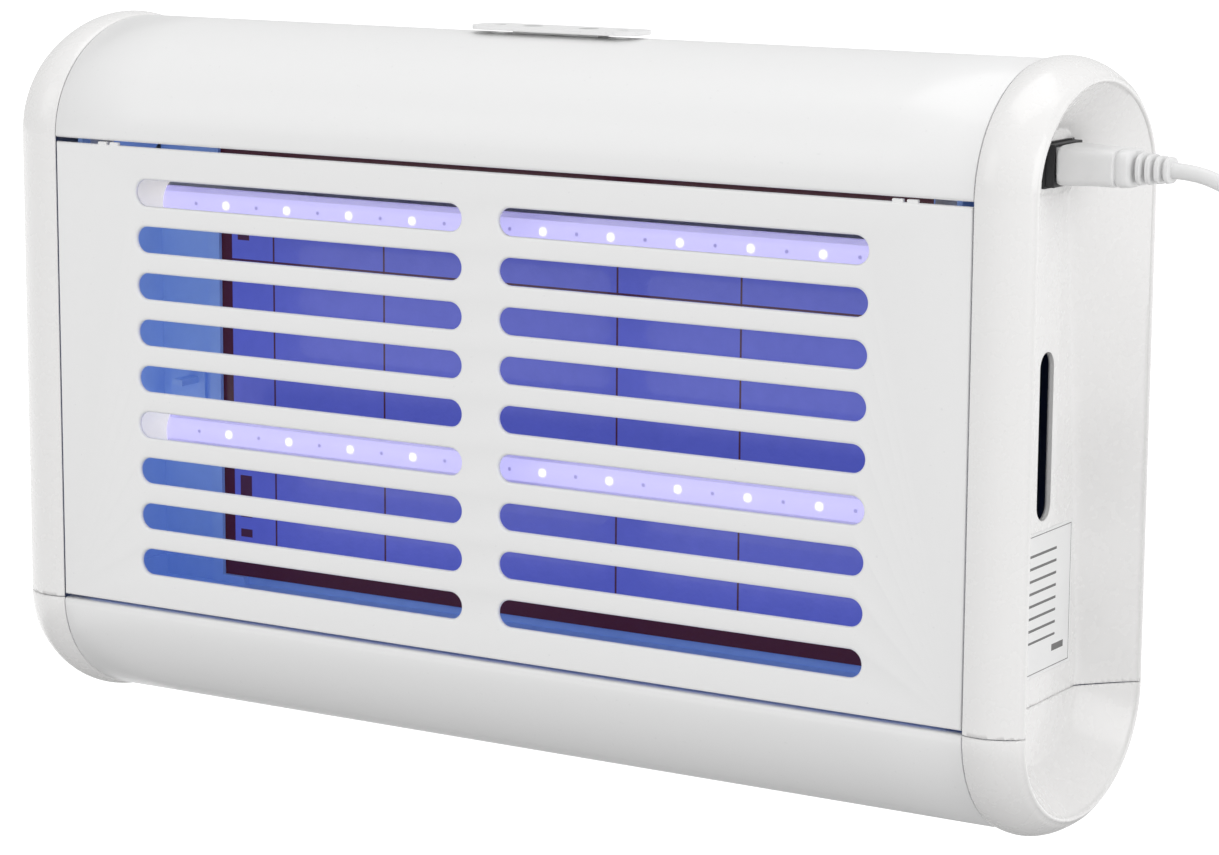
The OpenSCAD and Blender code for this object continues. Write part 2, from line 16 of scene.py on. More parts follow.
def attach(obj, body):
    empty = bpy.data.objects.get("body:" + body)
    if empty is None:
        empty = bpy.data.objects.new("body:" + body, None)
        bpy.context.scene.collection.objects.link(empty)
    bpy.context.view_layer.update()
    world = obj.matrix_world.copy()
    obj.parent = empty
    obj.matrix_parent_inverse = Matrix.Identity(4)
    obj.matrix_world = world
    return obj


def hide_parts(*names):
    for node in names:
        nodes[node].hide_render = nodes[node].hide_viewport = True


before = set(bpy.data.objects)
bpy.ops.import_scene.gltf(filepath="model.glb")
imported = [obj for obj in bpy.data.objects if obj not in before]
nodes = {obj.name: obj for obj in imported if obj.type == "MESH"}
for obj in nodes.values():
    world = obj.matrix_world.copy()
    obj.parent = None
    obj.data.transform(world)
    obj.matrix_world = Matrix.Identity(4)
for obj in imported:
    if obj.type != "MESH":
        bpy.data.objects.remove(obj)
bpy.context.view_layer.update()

MM = 0.001
MID_Z = -171.7                                    # middle of the housing's height
HALF_W, HALF_D = 244.0, 68.0                      # housing without its end caps
EDGE_UP, EDGE_DOWN, DOME = 113.2, 112.8, 55.0     # straight sides above and below MID_Z, and the domes' rise
CAP_SEAM, SEAM_GAP = -112.3, 0.5
CAP_FLOOR, CAP_RIM, CAP_RIM_R = 248.0, 268.7, 1.3
COVER_WALL, CAP_WALL = 2.2, 2.0
SLOT_ROWS, SLOT_PITCH, SLOT_START, SLOT_END, SLOT_H = 9, 22.3, 10.0, 195.5, 12.5
GRILLE_X, GRILLE_LOW, GRILLE_HIGH, GRILLE_Y = 243.6, -111.0, 111.2, 66.5
INLET_Z = MID_Z + 124.0
UPPER_TUBE, LOWER_TUBE = 83.0, -27.5
LED_FIRST, LED_PITCH, LED_RUN = -160.9, 35.75, 170.0
LABEL_Z = MID_Z - 67.5
FLOOR_Z, FLOOR_HALF = -1600, 30000
MIX_A, MIX_B, MIX_COLOR = 6, 7, 2                 # the colour sockets of a Mix node


# ---------- camera ----------


def camera_at(place, azimuth, elevation, roll, lens):
    """A camera whose back points along (sin az cos el, -cos az cos el, sin el), rolled about that line."""
    az, el, turn = (math.radians(v) for v in (azimuth, elevation, roll))
    back = Vector((math.sin(az) * math.cos(el), -math.cos(az) * math.cos(el), math.sin(el)))
    level = Vector((0, 0, 1)).cross(back).normalized()
    upright = back.cross(level)
    right = level * math.cos(turn) + upright * math.sin(turn)
    up = upright * math.cos(turn) - level * math.sin(turn)
    data = bpy.data.cameras.new("view")
    data.sensor_width, data.lens = 36.0, lens
    data.clip_start, data.clip_end = 0.01, 100
    camera = bpy.data.objects.new("view", data)
    bpy.context.scene.collection.objects.link(camera)
    camera.matrix_world = Matrix((
        (right[0], up[0], back[0], place[0]),
        (right[1], up[1], back[1], place[1]),
        (right[2], up[2], back[2], place[2]),
        (0, 0, 0, 1)))
    bpy.context.scene.camera = camera


camera_at((0.8993, -1.4224, 0.1118), 31.509, 10.041, 0.332, 108.06)


# ---------- meshes from arrays ----------


def show(name, mesh, body, material, stands_for=(), edges=None, smooth=True):
    """Links a finished mesh as a piece that rides on a body.
    edges is the angle in degrees above which an edge stays sharp."""
    piece = bpy.data.objects.new(name, mesh)
    bpy.context.scene.collection.objects.link(piece)
    if smooth:
        mesh.shade_smooth()
    if edges is not None:
        mesh.set_sharp_from_angle(angle=math.radians(edges))
    mesh.materials.append(material)
    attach(piece, body)
    if stands_for:
        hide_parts(*stands_for)
    return piece


def sheet_mesh(name, P, around=False, flip=False, caps=False):
    """A surface through the points P[u, v] in millimetres, with one four-sided face for each step of u and v.
    around joins the last v to the first. caps closes the first and the last ring with a fan."""
    nu, nv = P.shape[:2]
    index = np.arange(nu * nv).reshape(nu, nv)
    nxt = np.roll(index, -1, axis=1) if around else index[:, 1:]
    here = index if around else index[:, :-1]
    quads = np.stack([here[:-1], here[1:], nxt[1:], nxt[:-1]], axis=-1).reshape(-1, 4)
    faces = quads[:, ::-1] if flip else quads
    points, faces = P.reshape(-1, 3) * MM, faces.tolist()
    if caps:
        points = np.vstack([points, P[0].mean(0) * MM, P[-1].mean(0) * MM])
        ends = []
        for ring, tip, turn in ((index[0], nu * nv, False), (index[-1], nu * nv + 1, True)):
            fan = np.stack([ring, np.roll(ring, -1), np.full(nv, tip)], axis=-1)
            ends.append(fan[:, ::-1] if turn != flip else fan)
        faces += np.vstack(ends).tolist()
    mesh = bpy.data.meshes.new(name)
    mesh.from_pydata(points.tolist(), [], faces)
    mesh.update()
    return mesh


def thicken(piece, wall):
    """Gives a skin its wall, on the inner side."""
    solid = piece.modifiers.new("wall", "SOLIDIFY")
    solid.thickness, solid.offset = wall * MM, -1


def soften(piece, width, segments=2):
    """Rounds every edge that is sharper than 45 degrees."""
    rounding = piece.modifiers.new("rounding", "BEVEL")
    rounding.width, rounding.segments = width * MM, segments
    rounding.limit_method, rounding.angle_limit = "ANGLE", math.radians(45)
    rounding.harden_normals = True


def by_length(curve, n):
    """n points at equal steps of length along a closed curve of (y, z), from its first point."""
    loop = np.vstack([curve, curve[:1]])
    along = np.concatenate([[0], np.cumsum(np.linalg.norm(np.diff(loop, axis=0), axis=1))])
    at = np.linspace(0, along[-1], n, endpoint=False)
    return np.stack([np.interp(at, along, loop[:, i]) for i in (0, 1)], axis=1)


def both_halves(half):
    """A closed curve from its right half, which goes from the lowest point to the highest."""
    return np.vstack([half, (half * [-1, 1])[::-1][1:-1]])


def housing_outline(inset, n):
    """Two half ellipses, (68 - inset) by (55 - inset), at the ends of two straight sides."""
    low, high = np.radians(np.linspace(-90, 0, 120)), np.radians(np.linspace(0, 90, 120))
    y, z = HALF_D - inset, DOME - inset
    half = np.vstack([np.stack([y * np.cos(low), z * np.sin(low) - EDGE_DOWN], 1),
                      np.stack([y * np.cos(high), z * np.sin(high) + EDGE_UP], 1)])
    return by_length(both_halves(half), n)


def tapered_outline(low_z, low_r, high_z, high_r, n):
    """The line round two circles and the two straight lines that touch both."""
    lean = math.asin((low_r - high_r) / (high_z - low_z))
    low, high = np.linspace(-np.pi / 2, lean, 80), np.linspace(lean, np.pi / 2, 80)
    half = np.vstack([np.stack([low_r * np.cos(low), low_r * np.sin(low) + low_z], 1),
                      np.stack([high_r * np.cos(high), high_r * np.sin(high) + high_z], 1)])
    return by_length(both_halves(half), n)


def ramp(x):
    """0 below 0, 1 above 1, and 3x^2 - 2x^3 between."""
    x = np.clip(x, 0, 1)
    return x * x * (3 - 2 * x)


def ring(curve, x):
    """A closed curve of (y, z) at one x, in the housing's place."""
    return np.column_stack([np.full(len(curve), x), curve[:, 0], curve[:, 1] + MID_Z])


# ---------- node groups and materials ----------


def wire(tree, kind, inputs=None, **settings):
    """A node with its settings, and its inputs set or linked."""
    made = tree.nodes.new(kind)
    for key, value in settings.items():
        setattr(made, key, value)
    for key, value in (inputs or {}).items():
        if isinstance(value, bpy.types.NodeSocket):
            tree.links.new(value, made.inputs[key])
        else:
            made.inputs[key].default_value = value
    return made


def maths(tree, operation, a, b=0.0, c=0.0):
    """One sum on up to three numbers or sockets."""
    return wire(tree, "ShaderNodeMath", {0: a, 1: b, 2: c}, operation=operation).outputs[0]


def new_group(name, inputs, outputs):
    """An empty node group with its named sockets, and its input and output nodes."""
    tree = bpy.data.node_groups.new(name, "ShaderNodeTree")
    for label, kind, value in inputs:
        socket = tree.interface.new_socket(label, in_out="INPUT", socket_type=kind)
        socket.default_value = value
    for label, kind in outputs:
        tree.interface.new_socket(label, in_out="OUTPUT", socket_type=kind)
    return tree, tree.nodes.new("NodeGroupInput"), tree.nodes.new("NodeGroupOutput")


DUST = (0.35, 0.36, 0.38, 1)


def painted(tree, under, mask, color):
    """under + mask (color - under)."""
    mix = wire(tree, "ShaderNodeMix", {"Factor": mask, MIX_A: under, MIX_B: color}, data_type="RGBA")
    return mix.outputs[MIX_COLOR]


def moulded_grain():
    """Small patches of tone from one noise, a fine grain from another, and specks of dust from a third."""
    color, number = "NodeSocketColor", "NodeSocketFloat"
    tree, given, out = new_group(
        "moulded grain",
        [("Light", color, (1, 1, 1, 1)), ("Dark", color, (0.9, 0.9, 0.9, 1)),
         ("Patches", number, 150.0), ("Grain", number, 900.0), ("Depth", number, 0.05),
         ("Gloss", number, 0.3), ("Specks", number, 0.0)],
        [("Color", color), ("Roughness", number), ("Normal", "NodeSocketVector")])
    place = wire(tree, "ShaderNodeTexCoord").outputs["Object"]
    slow = wire(tree, "ShaderNodeTexNoise", {"Vector": place, "Scale": given.outputs["Patches"],
                                             "Detail": 5.0})
    fine = wire(tree, "ShaderNodeTexNoise", {"Vector": place, "Scale": given.outputs["Grain"],
                                             "Detail": 1.0})
    dust = wire(tree, "ShaderNodeTexNoise", {"Vector": place, "Scale": 620.0, "Detail": 0.0})
    tone = painted(tree, given.outputs["Light"], slow.outputs["Fac"], given.outputs["Dark"])
    speck = wire(tree, "ShaderNodeMapRange", {"Value": dust.outputs["Fac"], "From Min": 0.8, "From Max": 0.86,
                                              "To Max": given.outputs["Specks"]})
    dusty = painted(tree, tone, speck.outputs[0], DUST)
    rough = maths(tree, "MULTIPLY_ADD", slow.outputs["Fac"], 0.1, given.outputs["Gloss"])
    bump = wire(tree, "ShaderNodeBump", {"Height": fine.outputs["Fac"], "Strength": given.outputs["Depth"],
                                         "Distance": 0.0004})
    tree.links.new(dusty, out.inputs["Color"])
    tree.links.new(rough, out.inputs["Roughness"])
    tree.links.new(bump.outputs[0], out.inputs["Normal"])
    return tree


def drawn_streaks():
    """Fine lines along X, from a noise that is stretched sixty times that way."""
    color, number = "NodeSocketColor", "NodeSocketFloat"
    tree, given, out = new_group(
        "drawn streaks",
        [("Light", color, (1, 1, 1, 1)), ("Dark", color, (0.8, 0.8, 0.8, 1)), ("Gloss", number, 0.3)],
        [("Color", color), ("Roughness", number), ("Normal", "NodeSocketVector")])
    place = wire(tree, "ShaderNodeTexCoord").outputs["Object"]
    long = wire(tree, "ShaderNodeMapping", {"Vector": place, "Scale": (12.0, 700.0, 700.0)})
    lines = wire(tree, "ShaderNodeTexNoise", {"Vector": long.outputs[0], "Scale": 1.0, "Detail": 3.0})
    tone = painted(tree, given.outputs["Light"], lines.outputs["Fac"], given.outputs["Dark"])
    rough = maths(tree, "MULTIPLY_ADD", lines.outputs["Fac"], 0.2, given.outputs["Gloss"])
    bump = wire(tree, "ShaderNodeBump", {"Height": lines.outputs["Fac"], "Strength": 0.15,
                                         "Distance": 0.0002})
    tree.links.new(tone, out.inputs["Color"])
    tree.links.new(rough, out.inputs["Roughness"])
    tree.links.new(bump.outputs[0], out.inputs["Normal"])
    return tree


GRAIN, STREAKS = moulded_grain(), drawn_streaks()


def finish_of(name, group, values, **sockets):
    """A material whose colour, roughness and normal come from a group placed in it with its own values."""
    material = bpy.data.materials.new(name)
    material.use_nodes = True
    tree = material.node_tree
    shader = tree.nodes["Principled BSDF"]
    placed = wire(tree, "ShaderNodeGroup", node_tree=group)
    for key, value in values.items():
        placed.inputs[key].default_value = value
    tree.links.new(placed.outputs["Color"], shader.inputs["Base Color"])
    tree.links.new(placed.outputs["Roughness"], shader.inputs["Roughness"])
    tree.links.new(placed.outputs["Normal"], shader.inputs["Normal"])
    for key, value in sockets.items():
        shader.inputs[key.replace("_", " ")].default_value = value
    return material, tree, shader, placed


def grey(v, warm=0.0):
    """A grey of brightness v, with its blue lowered by warm."""
    return (v, v - warm / 2, v - warm, 1)


def plastic(name, light, dark, gloss=0.3, grain=900.0, depth=0.05, specks=0.0, **sockets):
    """A moulded or painted finish between two close tones."""
    return finish_of(name, GRAIN, {"Light": light, "Dark": dark, "Gloss": gloss, "Grain": grain,
                                   "Depth": depth, "Specks": specks}, **sockets)


WHITE = plastic("satin white moulding", grey(0.85), grey(0.84), 0.26, specks=0.08,
                Coat_Weight=0.15)[0]
GRILLE_WHITE = plastic("white painted grille", grey(0.86), grey(0.85), 0.32, 1400.0, 0.06, 0.1)[0]
CAP_WHITE = plastic("satin white end moulding", grey(0.84, 0.012), grey(0.83, 0.012), 0.22, specks=0.06,
                    Coat_Weight=0.25)[0]
# Painted light: the tube ends and lamp holders glow faintly warm white though they give no light. Otherwise
# this is the same as the clip plastic.
LAMP_WHITE_PAINTED_GLOW = plastic("white lamp plastic with painted glow", grey(0.8), grey(0.76), 0.35, Emission_Color=(1.0, 0.96, 0.92, 1),
                     Emission_Strength=0.45)[0]
CLIP_WHITE = plastic("white clip plastic", grey(0.8), grey(0.76), 0.35)[0]
BLACK = plastic("matt black moulding", (0.018, 0.018, 0.02, 1), (0.01, 0.01, 0.012, 1), 0.45,
                1200.0, 0.2)[0]
CORD_WHITE = plastic("white flexible jacket", grey(0.8), grey(0.76), 0.38, 1500.0, 0.12)[0]
WIRE_GREY = plastic("grey wire jacket", grey(0.35), grey(0.28), 0.45)[0]
ZINC = finish_of("zinc plated steel", STREAKS, {"Light": grey(0.62), "Dark": grey(0.5), "Gloss": 0.32},
                 Metallic=1.0)[0]
ALUMINIUM = finish_of("drawn aluminium", STREAKS, {"Light": grey(0.78), "Dark": grey(0.66), "Gloss": 0.28},
                      Metallic=1.0)[0]
BRASS = finish_of("plated brass", STREAKS, {"Light": (0.8, 0.68, 0.4, 1), "Dark": (0.7, 0.57, 0.3, 1),
                                            "Gloss": 0.25}, Metallic=1.0)[0]


def coordinate(tree, axis):
    """One of the object's own X, Y and Z, in metres."""
    place = wire(tree, "ShaderNodeTexCoord").outputs["Object"]
    return wire(tree, "ShaderNodeSeparateXYZ", {0: place}).outputs[axis]


def near(tree, value, centre, half):
    """1 where value is within half of centre."""
    away = maths(tree, "ABSOLUTE", maths(tree, "SUBTRACT", value, centre))
    return maths(tree, "LESS_THAN", away, half)


def repeated(tree, value, first, pitch):
    """How far value is from the nearest of first, first + pitch, first + 2 pitch and so on."""
    steps = maths(tree, "DIVIDE", maths(tree, "SUBTRACT", value, first), pitch)
    off = maths(tree, "SUBTRACT", steps, maths(tree, "ROUND", steps))
    return maths(tree, "MULTIPLY", maths(tree, "ABSOLUTE", off), pitch)


def distance(tree, a, b):
    """The square root of a squared plus b squared."""
    squares = maths(tree, "ADD", maths(tree, "POWER", a, 2.0), maths(tree, "POWER", b, 2.0))
    return maths(tree, "SQRT", squares)


def either(tree, *masks):
    """The greatest of several masks."""
    total = masks[0]
    for mask in masks[1:]:
        total = maths(tree, "MAXIMUM", total, mask)
    return total


def glue_card():
    """Sticky card whose blue-violet colour and faint glow are the tubes' light painted in, with a dark grid,
    dark bands along its edges and plain dark bars.
    """
    # Painted light: the blue-violet tones and the emission stand in for the tubes' light on the card.
    material, tree, shader, placed = plastic(
        "sticky card", (0.1, 0.12, 0.5, 1), (0.08, 0.1, 0.44, 1), 0.25, 500.0, 0.25,
        Emission_Strength=0.48, Coat_Weight=0.3)
    across, down, half_line = 0.0653, 0.0512, 0.0005
    side_band, low_band, high_band = 0.1885, -0.0965, 0.0996
    x, z = coordinate(tree, "X"), coordinate(tree, "Z")
    up = maths(tree, "SUBTRACT", z, MID_Z * MM)
    lines = either(tree,
                   maths(tree, "LESS_THAN", repeated(tree, x, across / 2, across), half_line),
                   maths(tree, "LESS_THAN", repeated(tree, up, 0.0, down), half_line))
    bands = either(tree,
                   maths(tree, "GREATER_THAN", maths(tree, "ABSOLUTE", x), side_band),
                   maths(tree, "LESS_THAN", up, low_band),
                   maths(tree, "GREATER_THAN", up, high_band))
    dark_bars = [near(tree, up, at, half) for at, half in
                 ((-0.062, 0.006), (-0.085, 0.002), (0.066, 0.005), (-0.074, 0.003))]
    left = maths(tree, "MULTIPLY", near(tree, x, -0.1815, 0.0035), either(tree, *dark_bars))
    color = painted(tree, placed.outputs["Color"], either(tree, lines, left), (0.05, 0.012, 0.03, 1))
    color = painted(tree, color, bands, (0.045, 0.004, 0.008, 1))
    tree.links.new(color, shader.inputs["Base Color"])
    # Painted glow: the card's colour also drives its emission.
    tree.links.new(color, shader.inputs["Emission Color"])
    return material


def lamp_lens():
    """A clear, faintly milky lens that carries the lamp's violet glow."""
    return plastic(
        "milky violet lens", (0.72, 0.7, 1.0, 1), (0.64, 0.62, 0.98, 1), 0.12, 700.0, 0.03,
        Emission_Color=(0.5, 0.46, 0.9, 1), Emission_Strength=0.4, Alpha=0.3)[0]


def led_strip():
    """A glowing strip with a white halo at each diode and a small dark dot half-way between two of them."""
    material, tree, shader, _ = plastic(
        "glowing lamp strip", (0.3, 0.3, 0.4, 1), (0.27, 0.27, 0.37, 1), 0.4, 900.0, 0.05,
        Emission_Strength=1.0)
    dot_r, halo_in, halo_out = 0.0009, 0.0011, 0.0026
    x, z = coordinate(tree, "X"), coordinate(tree, "Z")
    up = maths(tree, "SUBTRACT", z, MID_Z * MM)
    level = maths(tree, "MINIMUM",
                  maths(tree, "ABSOLUTE", maths(tree, "SUBTRACT", up, UPPER_TUBE * MM)),
                  maths(tree, "ABSOLUTE", maths(tree, "SUBTRACT", up, LOWER_TUBE * MM)))
    aside = repeated(tree, x, (LED_FIRST + LED_PITCH / 2) * MM, LED_PITCH * MM)
    dot = maths(tree, "LESS_THAN", distance(tree, aside, level), dot_r)
    beside = repeated(tree, x, LED_FIRST * MM, LED_PITCH * MM)
    away = distance(tree, beside, level)
    halo = wire(tree, "ShaderNodeMapRange", {"Value": away, "From Min": halo_in, "From Max": halo_out,
                                             "To Min": 1.0, "To Max": 0.0}).outputs[0]
    halo = maths(tree, "MULTIPLY", halo, near(tree, x, 0.0, LED_RUN * MM))
    glow = painted(tree, (0.6, 0.57, 0.84, 1), halo, (2.0, 2.0, 2.2, 1))
    glow = painted(tree, glow, dot, (0.03, 0.02, 0.1, 1))
    tree.links.new(glow, shader.inputs["Emission Color"])
    return material


def plain_label():
    """A white film with a thin border and plain dark bars in place of print."""
    material, tree, shader, placed = plastic("printed film", grey(0.86), grey(0.84), 0.35, 1500.0, 0.03)
    half_y, half_z, border_w = 0.0288, 0.0308, 0.0004
    row_pitch, half_row = 0.0055, 0.0006
    y, z = coordinate(tree, "Y"), coordinate(tree, "Z")
    up = maths(tree, "SUBTRACT", z, LABEL_Z * MM)
    outer = maths(tree, "MULTIPLY", near(tree, y, 0.0, half_y), near(tree, up, 0.0, half_z))
    inner = maths(tree, "MULTIPLY", near(tree, y, 0.0, half_y - border_w),
                  near(tree, up, 0.0, half_z - border_w))
    border = maths(tree, "SUBTRACT", outer, inner)
    rows = maths(tree, "LESS_THAN", repeated(tree, up, 0.0, row_pitch), half_row)
    column = maths(tree, "MULTIPLY", near(tree, y, -0.004, 0.018), near(tree, up, 0.004, 0.021))
    block = maths(tree, "MULTIPLY", near(tree, y, 0.017, 0.006), near(tree, up, -0.0225, 0.0015))
    ink = either(tree, border, maths(tree, "MULTIPLY", rows, column), block)
    color = painted(tree, placed.outputs["Color"], ink, grey(0.12))
    tree.links.new(color, shader.inputs["Base Color"])
    return material


def lit_sheet():
    """White sheet metal with the lamps' blue light painted into its colour and a faint painted glow, and
    painted shade, near black, where a side wall stands behind a vent slot.
    """
    # Painted light: the blue base colour is the tubes' light falling on white sheet metal.
    material, tree, shader, placed = plastic(
        "blue-lit painted sheet", (0.38, 0.56, 0.88, 1), (0.32, 0.48, 0.8, 1), 0.4, 1500.0, 0.08)
    wide = maths(tree, "ABSOLUTE", coordinate(tree, "X"))
    # Painted shade: the side wall, where it shows through a vent slot, is made near black with no glow.
    slot_shade = maths(tree, "MULTIPLY", near(tree, wide, 0.2395, 0.0041),
                    near(tree, coordinate(tree, "Y"), 0.0, 0.05))
    color = painted(tree, placed.outputs["Color"], slot_shade, (0.02, 0.02, 0.02, 1))
    # Painted glow: a faint blue emission stands in for the lamps' light, and is left out where the painted
    # shade is.
    glow = painted(tree, (0.1, 0.2, 0.6, 1), slot_shade, (0, 0, 0, 1))
    tree.links.new(color, shader.inputs["Base Color"])
    tree.links.new(glow, shader.inputs["Emission Color"])
    shader.inputs["Emission Strength"].default_value = 0.16
    return material


def white_sweep():
    """A pale floor that turns into a bright white ground from 2 to 3.6 m out."""
    material, tree, shader, _ = plastic("pale floor", grey(0.43), grey(0.42), 0.9, 40.0, 0.0)
    out = distance(tree, coordinate(tree, "X"), coordinate(tree, "Y"))
    far = wire(tree, "ShaderNodeMapRange", {"Value": out, "From Min": 2.0, "From Max": 3.6, "To Max": 1.0},
               interpolation_type="SMOOTHSTEP")
    glow = painted(tree, (0, 0, 0, 1), far.outputs[0], (1, 1, 1, 1))
    tree.links.new(glow, shader.inputs["Emission Color"])
    shader.inputs["Emission Strength"].default_value = 1.0
    return material


CARD, LENS, STRIP, LABEL = glue_card(), lamp_lens(), led_strip(), plain_label()
BLUE_LIT_FRAME, PALE_FLOOR = lit_sheet(), white_sweep()


# ---------- mains lead ----------

LEAD_ROUTE = [(302, 0, -47.7), (308, 0, -48), (315, 0, -49), (322, 0, -51), (330, 0, -54.5), (338, 0, -59.5),
              (345, 0, -66), (351, 0, -74), (356, 0, -83), (360, 0, -93), (362, 1, -103), (362, 4, -113),
              (362, 9, -122), (361, 15, -131), (359, 21, -140), (357, 27, -149)]
TAIL_ROUTE = [(350, 36, -199), (348, 36, -207), (348, 34, -216), (350, 30, -225), (352, 25, -233),
              (355, 19, -241), (358, 13, -249), (360, 8, -257), (361, 4, -265), (362, 1, -272), (362, 0, -278)]
DROP_X, COIL_Z, CORD_D = 362.0, -185.0, 7.0
COIL_TURNS, COIL_R, COIL_START = 6.1, 42, 41      # turns, outer radius, and the angle where they begin
PLUG_Z = -276.0


def rounded_route(points, step):
    """A smooth line through the points: each span is the cubic set by its four neighbours."""
    p = np.array(points, float)
    p = np.vstack([2 * p[0] - p[1], p, 2 * p[-1] - p[-2]])
    a, b, c, d = p[:-3, None], p[1:-2, None], p[2:-1, None], p[3:, None]
    t = np.linspace(0, 1, 9)[None, :, None]
    line = 0.5 * (2 * b + (c - a) * t + (2 * a - 5 * b + 4 * c - d) * t**2
                  + (3 * b - a - 3 * c + d) * t**3)
    line = np.vstack([line[:, :-1].reshape(-1, 3), p[-2]])
    along = np.concatenate([[0], np.cumsum(np.linalg.norm(np.diff(line, axis=0), axis=1))])
    at = np.linspace(0, along[-1], max(2, int(along[-1] / step)))
    return np.stack([np.interp(at, along, line[:, i]) for i in range(3)], axis=1)


def stair(t, start, end):
    """Climbs by one between start and end of every whole turn."""
    whole = np.floor(t)
    return whole + ramp((t - whole - start) / (end - start))


def coil_turns():
    """Six turns about an axis along X: three side by side at 42 mm, then three inside them at 35 mm."""
    t = np.linspace(0, COIL_TURNS, 6 * 48)
    angle = math.radians(COIL_START) - 2 * np.pi * t
    outer, inner = CORD_D * (stair(t, 0.8, 1.0) - 1), CORD_D * (1 - stair(t - 3, 0.6, 0.8))
    into = ramp((t - 2.8) / 0.2)
    x = np.where(t < 3, outer, np.clip(inner, -CORD_D, CORD_D))
    r = COIL_R - CORD_D * into
    return np.stack([DROP_X + x, r * np.cos(angle), COIL_Z + r * np.sin(angle)], axis=1)


def cord_line():
    """The lead, its coil and the tail to the plug, as one smooth line with a point every 3 mm."""
    return rounded_route(np.vstack([LEAD_ROUTE, coil_turns(), TAIL_ROUTE]), 3.0)


def cord_curve(name, line, body):
    """A round tube about a line of points, closed at both ends."""
    data = bpy.data.curves.new(name, "CURVE")
    data.dimensions, data.bevel_depth, data.bevel_resolution = "3D", CORD_D / 2 * MM, 4
    data.use_fill_caps = True
    spline = data.splines.new("POLY")
    spline.points.add(len(line) - 1)
    spline.points.foreach_set("co", np.column_stack([line * MM, np.ones(len(line))]).ravel())
    data.materials.append(CORD_WHITE)
    piece = bpy.data.objects.new(name, data)
    bpy.context.scene.collection.objects.link(piece)
    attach(piece, body)
    return piece


def turned(profile, n=64):
    """Rings about a line along Z: each (radius, z) of the profile becomes (r cos a, r sin a, z)."""
    p, a = np.array(profile, float), np.linspace(0, 2 * np.pi, n, endpoint=False)
    return np.stack([p[:, :1] * np.cos(a), p[:, :1] * np.sin(a), np.repeat(p[:, 1:], n, 1)], axis=-1)


def squared_ring(x, half_y, half_z, power, n=96):
    """A rounded rectangle: |y / half_y|^power + |z / half_z|^power = 1."""
    a = np.linspace(0, 2 * np.pi, n, endpoint=False)
    c, s = np.cos(a), np.sin(a)
    y = np.sign(c) * np.abs(c) ** (2 / power) * half_y
    z = np.sign(s) * np.abs(s) ** (2 / power) * half_z
    return np.column_stack([np.full(n, x), y, z + INLET_Z])


def plug_body():
    """The plug from its neck down to its face: neck rings, a waisted grip and a round face."""
    profile = [(3.4, 0), (4.6, -0.6), (5.2, -2), (5.2, -4), (4.3, -4.6), (4.3, -6), (5.6, -6.6), (5.6, -9),
               (4.7, -9.6), (4.7, -11), (6.2, -11.6), (6.4, -14), (7.6, -16.5), (10.2, -19), (11.6, -22),
               (12.0, -26), (12.4, -30), (14.0, -33.5), (16.8, -36), (18.2, -38.5), (18.5, -42), (18.5, -48),
               (18.0, -49.6), (17.2, -50), (13, -50), (12.7, -49.4), (6, -49.4)]
    return sheet_mesh("plug_grip", turned(profile) + [DROP_X, 0, PLUG_Z], around=True, caps=True)


plug = show("plug_grip", plug_body(), "mains_lead", CORD_WHITE, ["mains_plug"], 35)
cord = cord_curve("cord", cord_line(), "mains_lead")
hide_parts("cord_lead", "cord_coil", "cord_tail")


def connector_body():
    """Rounded rectangles that run into a round tail: the plug end, the grip, its shoulder and four ribs."""
    rings = [(248, 11.8, 7.9, 8), (255.2, 11.8, 7.9, 8), (255.4, 12.6, 8.0, 5), (256.0, 13.3, 8.6, 5),
             (257.2, 13.5, 8.7, 5), (264, 13.3, 8.4, 5), (272, 13.1, 8.0, 5), (279.6, 13.2, 8.1, 5),
             (280.6, 12.9, 7.8, 5), (281, 11.0, 7.0, 4.5), (281.5, 11.0, 7.0, 4.5), (281.9, 11.4, 7.9, 4.5),
             (282.6, 11.6, 8.2, 4.5), (285.8, 11.2, 8.0, 4), (286.8, 10.4, 7.4, 3.6), (287.2, 8.0, 6.2, 3)]
    for i, r in enumerate((6.8, 6.4, 6.0, 5.6)):
        x, wide = 287.6 + 3.9 * i, r + 1.6 - 0.4 * i
        rings += [(x, 3.9, 3.9, 2), (x + 1.2, 3.9, 3.9, 2), (x + 1.5, wide, r - 0.6, 3),
                  (x + 1.9, wide + 0.3, r, 3), (x + 3.2, wide + 0.2, r - 0.1, 3),
                  (x + 3.6, wide - 0.3, r - 0.7, 3)]
    rings += [(303, 3.75, 3.75, 2)]
    P = np.stack([squared_ring(*r) for r in rings])
    return sheet_mesh("connector", P, around=True, flip=True, caps=True)


show("connector_grip", connector_body(), "mains_lead", CORD_WHITE, ["mains_connector"], 40)


# ---------- covers and end caps ----------


